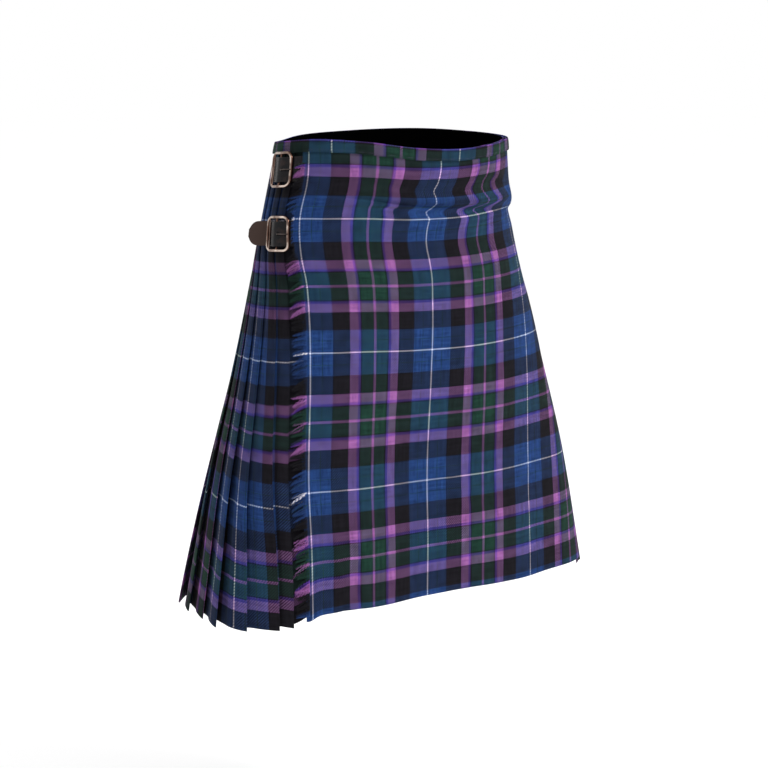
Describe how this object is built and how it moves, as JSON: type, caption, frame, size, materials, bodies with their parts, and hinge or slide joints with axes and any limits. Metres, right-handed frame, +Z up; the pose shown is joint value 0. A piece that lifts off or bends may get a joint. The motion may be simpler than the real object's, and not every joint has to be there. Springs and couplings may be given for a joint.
{
  "type": "scottish kilt",
  "caption": "Pleated wrap kilt in its worn, hollow shape: flat overlapping aprons in front, knife pleats behind, waistband, and strap-and-buckle fastenings at both hips",
  "frame": {"origin": "middle of the waist at the height of its rim, where the wearer's waist holds it", "axes": "+X towards the wearer's left, -Y the way the wearer faces, so the over apron is on the -Y side and the pleats on the +Y side, +Z up"},
  "size_m": [0.6197, 0.3043, 0.6355],
  "materials": {
    "tartan": "matte twill wool",
    "lining": "matte plain weave",
    "leather": "semi-gloss with a soft grain",
    "chrome": "polished"
  },
  "bodies": {
    "root": {"over_apron": "tartan", "apron_fringe": "tartan", "under_apron": "tartan", "pleats_right": "tartan", "pleats_back": "tartan", "pleats_left": "tartan", "waistband": "tartan", "lining": "lining", "strap_upper_right": "leather", "strap_lower_right": "leather", "strap_left": "leather", "tab_upper_right": "leather", "tab_lower_right": "leather", "tab_left": "leather", "buckle_upper_right": "chrome", "buckle_lower_right": "chrome", "buckle_left": "chrome", "prong_upper_right": "chrome", "prong_lower_right": "chrome", "prong_left": "chrome"}
  },
  "joints": []
}
